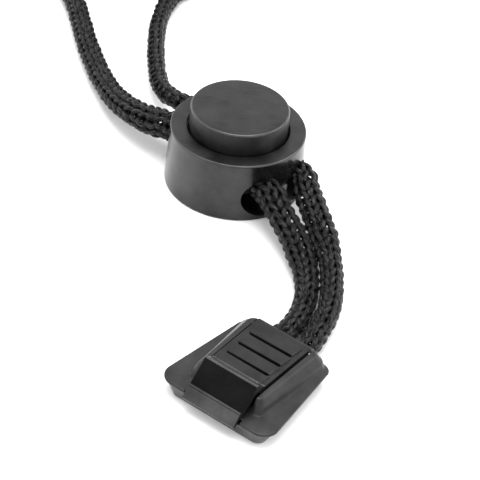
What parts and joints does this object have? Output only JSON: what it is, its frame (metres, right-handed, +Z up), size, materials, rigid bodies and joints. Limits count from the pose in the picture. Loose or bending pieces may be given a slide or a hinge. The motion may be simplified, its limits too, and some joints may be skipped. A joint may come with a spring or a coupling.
{
  "type": "lanyard cord lock",
  "caption": "Adjustable lanyard end: round push-button cord lock on a knitted neck cord, whose tails run into a trapezoid cord-end clip with a ribbed flip lid.",
  "frame": {"origin": "centre of the cord lock barrel's flat underside, on the surface that the part lies on", "axes": "+Z up along the push button, +Y from the clip past the lock towards the neck loop, +X to the right of that"},
  "size_m": [0.0658, 0.1644, 0.013],
  "materials": {
    "lock_plastic": "fine matte moulded black with faint scuffs, satin on the side wall",
    "clip_plastic": "satin moulded charcoal, polished on the lid's ramp",
    "steel": "plain bright wire",
    "yarn": "glossy black multifilament yarn, knitted",
    "band": "matt black woven strap"
  },
  "bodies": {
    "root": {"lock_barrel": "lock_plastic", "lock_spring": "steel", "cord_in_lock_left": "yarn", "cord_in_lock_right": "yarn", "clip_base": "clip_plastic", "clip_cover": "clip_plastic", "clip_hinge_pin": "steel", "cord_end_left": "yarn", "cord_end_right": "yarn", "tail_cord_left": "yarn", "tail_cord_right": "yarn", "neck_cord_left": "yarn", "neck_cord_right": "yarn", "neck_cord_coil": "yarn", "coil_tie": "band"},
    "button": {"lock_button": "lock_plastic"},
    "lid": {"clip_lid": "clip_plastic"}
  },
  "joints": [
    {"name": "button_press", "type": "slide", "parent": "root", "child": "button", "axis": [0, 0, -1], "range_m": [0, 0.0017], "stiffness_N_per_m": 900, "springref_m": -0.004, "deforming": ["lock_spring"]},
    {"name": "lid_flip", "type": "hinge", "parent": "root", "child": "lid", "pos_m": [0.0085, -0.0398, 0.0041], "axis": [-0.8271, 0.5621, 0], "range_deg": [0, 100]}
  ]
}
